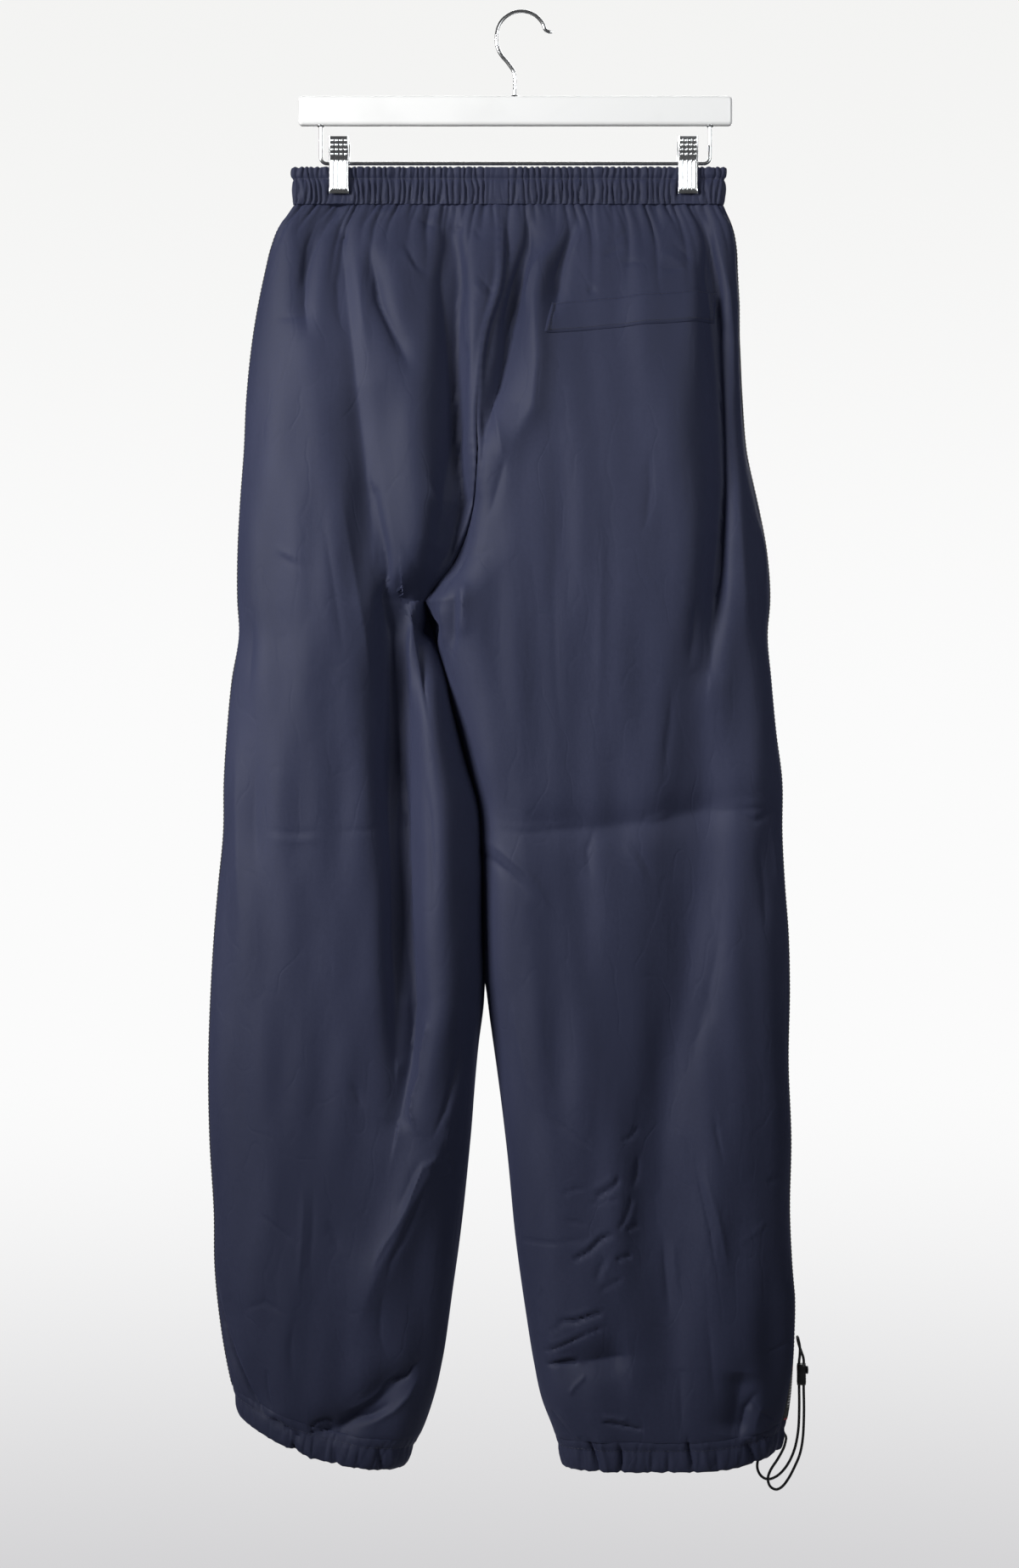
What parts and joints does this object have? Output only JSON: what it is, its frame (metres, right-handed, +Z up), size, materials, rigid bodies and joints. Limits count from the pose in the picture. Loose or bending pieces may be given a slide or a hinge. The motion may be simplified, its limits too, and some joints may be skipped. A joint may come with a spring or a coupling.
{
  "type": "track pants on clip hanger",
  "caption": "Elastic-waist track pants with gathered hems, cord locks and side tape, hanging from a white clip hanger with a wire hook.",
  "frame": {"origin": "the seat inside the hanger's hook, where a rail or peg carries the hanger", "axes": "+Z up, +X the wearer's right, +Y the front of the garment, so its back faces -Y"},
  "size_m": [0.4854, 0.0938, 1.1976],
  "materials": {
    "navy_cloth": "matt brushed microfibre, navy",
    "black_trim": "black woven tape and elastic cord",
    "black_plastic": "black moulded plastic",
    "hanger_white": "white, satin",
    "chromed_wire": "polished"
  },
  "bodies": {
    "root": {"back_left": "navy_cloth", "back_right": "navy_cloth", "front_left": "navy_cloth", "front_right": "navy_cloth", "waistband": "navy_cloth", "back_pocket_welt": "navy_cloth", "hem_left": "navy_cloth", "hem_right": "navy_cloth", "tape_left": "black_trim", "tape_right": "black_trim", "pocket_edge_left": "black_trim", "pocket_edge_right": "black_trim", "cord_left": "black_trim", "cord_right": "black_trim", "lock_left": "black_plastic", "lock_right": "black_plastic", "eyelet_left_a": "chromed_wire", "eyelet_left_b": "chromed_wire", "eyelet_right_a": "chromed_wire", "eyelet_right_b": "chromed_wire", "hanger_bar": "hanger_white", "hanger_hook": "chromed_wire", "hanger_rod": "chromed_wire", "clip_left_back": "chromed_wire", "clip_left_front": "chromed_wire", "clip_right_back": "chromed_wire", "clip_right_front": "chromed_wire"}
  },
  "joints": []
}
